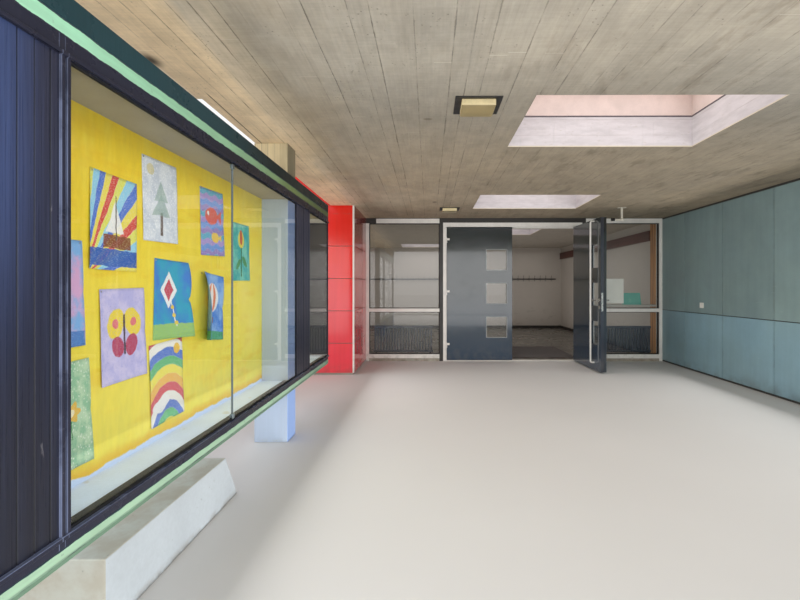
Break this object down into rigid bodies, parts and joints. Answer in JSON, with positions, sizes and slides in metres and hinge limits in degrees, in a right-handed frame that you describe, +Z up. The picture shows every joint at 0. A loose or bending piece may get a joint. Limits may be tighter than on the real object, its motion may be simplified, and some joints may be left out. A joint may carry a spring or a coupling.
{
  "type": "covered school entrance building",
  "caption": "Single-storey concrete school entrance with a covered forecourt, roof lights, glazed screen, double door, display case and hall behind.",
  "frame": {"origin": "middle of the building's footprint, on the ground", "axes": "+X to the right as seen from the forecourt, +Y from the forecourt into the hall, +Z up"},
  "size_m": [6.984, 13.87, 3.16],
  "materials": {
    "concrete": "board-marked exposed concrete",
    "roofing": "bituminous sheet with mineral finish",
    "opal": "opal acrylic domes and glass-fibre curbs",
    "lamp_black": "matt black steel tray",
    "lamp_cover": "aged cream diffuser",
    "blue_grey_panel": "satin enamelled panel",
    "red_panel": "gloss enamelled panel",
    "cream_paint": "cream paint on steel",
    "switch_white": "white moulded cover",
    "dark_paint": "dark paint on steel",
    "clear_glass": "clear float glass",
    "leaf_paint": "gloss anthracite paint",
    "satin_metal": "satin anodised",
    "black_rubber": "black rubber",
    "column_paint": "pale blue paint on concrete, raw above",
    "yellow_board": "brushed yellow paint on board",
    "case_white": "pale grey painted board",
    "case_zinc": "grey sheet metal",
    "dark_boards": "dark stained boards",
    "mint_paint": "mint green paint on board",
    "teal_paint": "dark teal paint on board",
    "floor_tile": "polished stone floor",
    "mat": "ribbed entrance matting",
    "iron_black": "black paint on steel",
    "red_brown": "red-brown painted beam",
    "timber": "varnished timber",
    "radiator_paint": "dark enamel",
    "shelf_paint": "pale painted board"
  },
  "bodies": {
    "building": {"roof_slab": "concrete", "roof_parapet": "concrete", "right_wall": "concrete", "back_wall": "concrete", "left_wall": "concrete", "wing_front_wall": "concrete", "wing_side_wall": "concrete", "concrete_block": "concrete", "window_kerbs": "concrete", "roof_covering": "roofing", "rooflight_curbs": "opal", "rooflight_domes": "opal", "lamp_housings": "lamp_black", "lamp_covers": "lamp_cover", "forecourt_panels_lower": "blue_grey_panel", "forecourt_panels_upper": "blue_grey_panel", "outer_panels": "blue_grey_panel", "red_panels": "red_panel", "red_corner_trim": "cream_paint", "left_window_frame": "cream_paint", "right_window_frame": "cream_paint", "door_frame": "cream_paint", "threshold": "cream_paint", "post_hinges": "cream_paint", "door_stop": "cream_paint", "switch_box": "switch_white", "dark_frame": "dark_paint", "case_frame": "dark_paint", "window_glass": "clear_glass", "case_glass": "clear_glass", "stop_buffer": "black_rubber", "columns": "column_paint", "case_back": "yellow_board", "case_floor": "case_white", "case_ceiling": "case_white", "case_end": "case_white", "case_roof": "case_zinc", "case_boards": "dark_boards", "case_strips": "mint_paint", "case_fascia": "teal_paint", "hall_floor": "floor_tile", "entrance_mat": "mat", "coat_rail": "iron_black", "wall_beam": "red_brown", "timber_lining": "timber", "radiators": "radiator_paint", "window_shelf": "shelf_paint"},
    "left_leaf": {"left_leaf": "leaf_paint", "left_leaf_glass": "clear_glass", "left_leaf_hinges": "cream_paint"},
    "right_leaf": {"right_leaf": "leaf_paint", "right_leaf_glass": "clear_glass", "right_leaf_hinges": "cream_paint", "pull_bar": "cream_paint", "lock_furniture": "satin_metal"},
    "lever": {"door_lever": "satin_metal"}
  },
  "joints": [
    {"name": "left_leaf_swing", "type": "hinge", "parent": "building", "child": "left_leaf", "pos_m": [-0.569, 0.527, 0], "axis": [0, 0, 1], "range_deg": [-92, 0]},
    {"name": "right_leaf_swing", "type": "hinge", "parent": "building", "child": "right_leaf", "pos_m": [1.735, 0.527, 0], "axis": [0, 0, 1], "range_deg": [-92, 6]},
    {"name": "lever_turn", "type": "hinge", "parent": "right_leaf", "child": "lever", "pos_m": [1.77346, -0.57433, 1.095], "axis": [-0.9994, -0.0349, 0], "range_deg": [0, 40], "stiffness_Nm_per_rad": 1.2}
  ]
}
